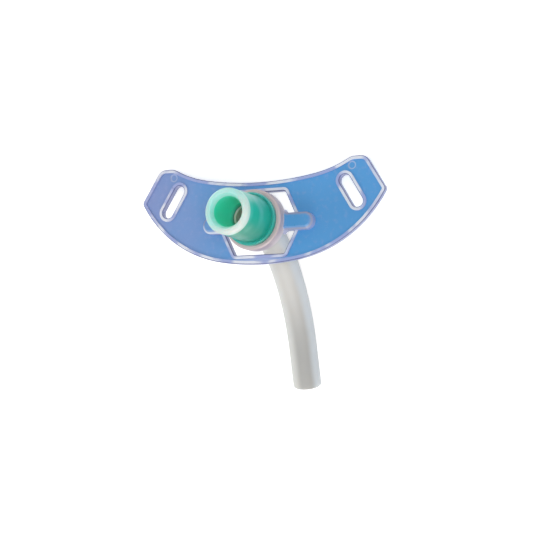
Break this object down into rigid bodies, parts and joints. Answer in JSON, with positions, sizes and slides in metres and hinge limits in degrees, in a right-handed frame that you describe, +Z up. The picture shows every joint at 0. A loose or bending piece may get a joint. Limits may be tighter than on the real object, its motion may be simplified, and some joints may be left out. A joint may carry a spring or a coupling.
{
  "type": "tracheostomy tube",
  "caption": "Uncuffed curved airway tube with a soft winged neck plate, tape slots and a conical breathing-circuit connector.",
  "frame": {"origin": "on the table under the middle of the part's bounding box, as the tube lies at rest", "axes": "+Z up; +X along the neck plate's width, which the part is symmetric about; -Y towards the connector's mouth, +Y towards the cannula's tip"},
  "size_m": [0.0894, 0.092, 0.0386],
  "materials": {
    "blue_soft_pvc": "satin, translucent",
    "white_soft_pvc": "satin",
    "green_plastic": "gloss, translucent"
  },
  "bodies": {
    "root": {"neck_flange": "blue_soft_pvc", "cannula": "white_soft_pvc", "airway_connector": "green_plastic"}
  },
  "joints": []
}
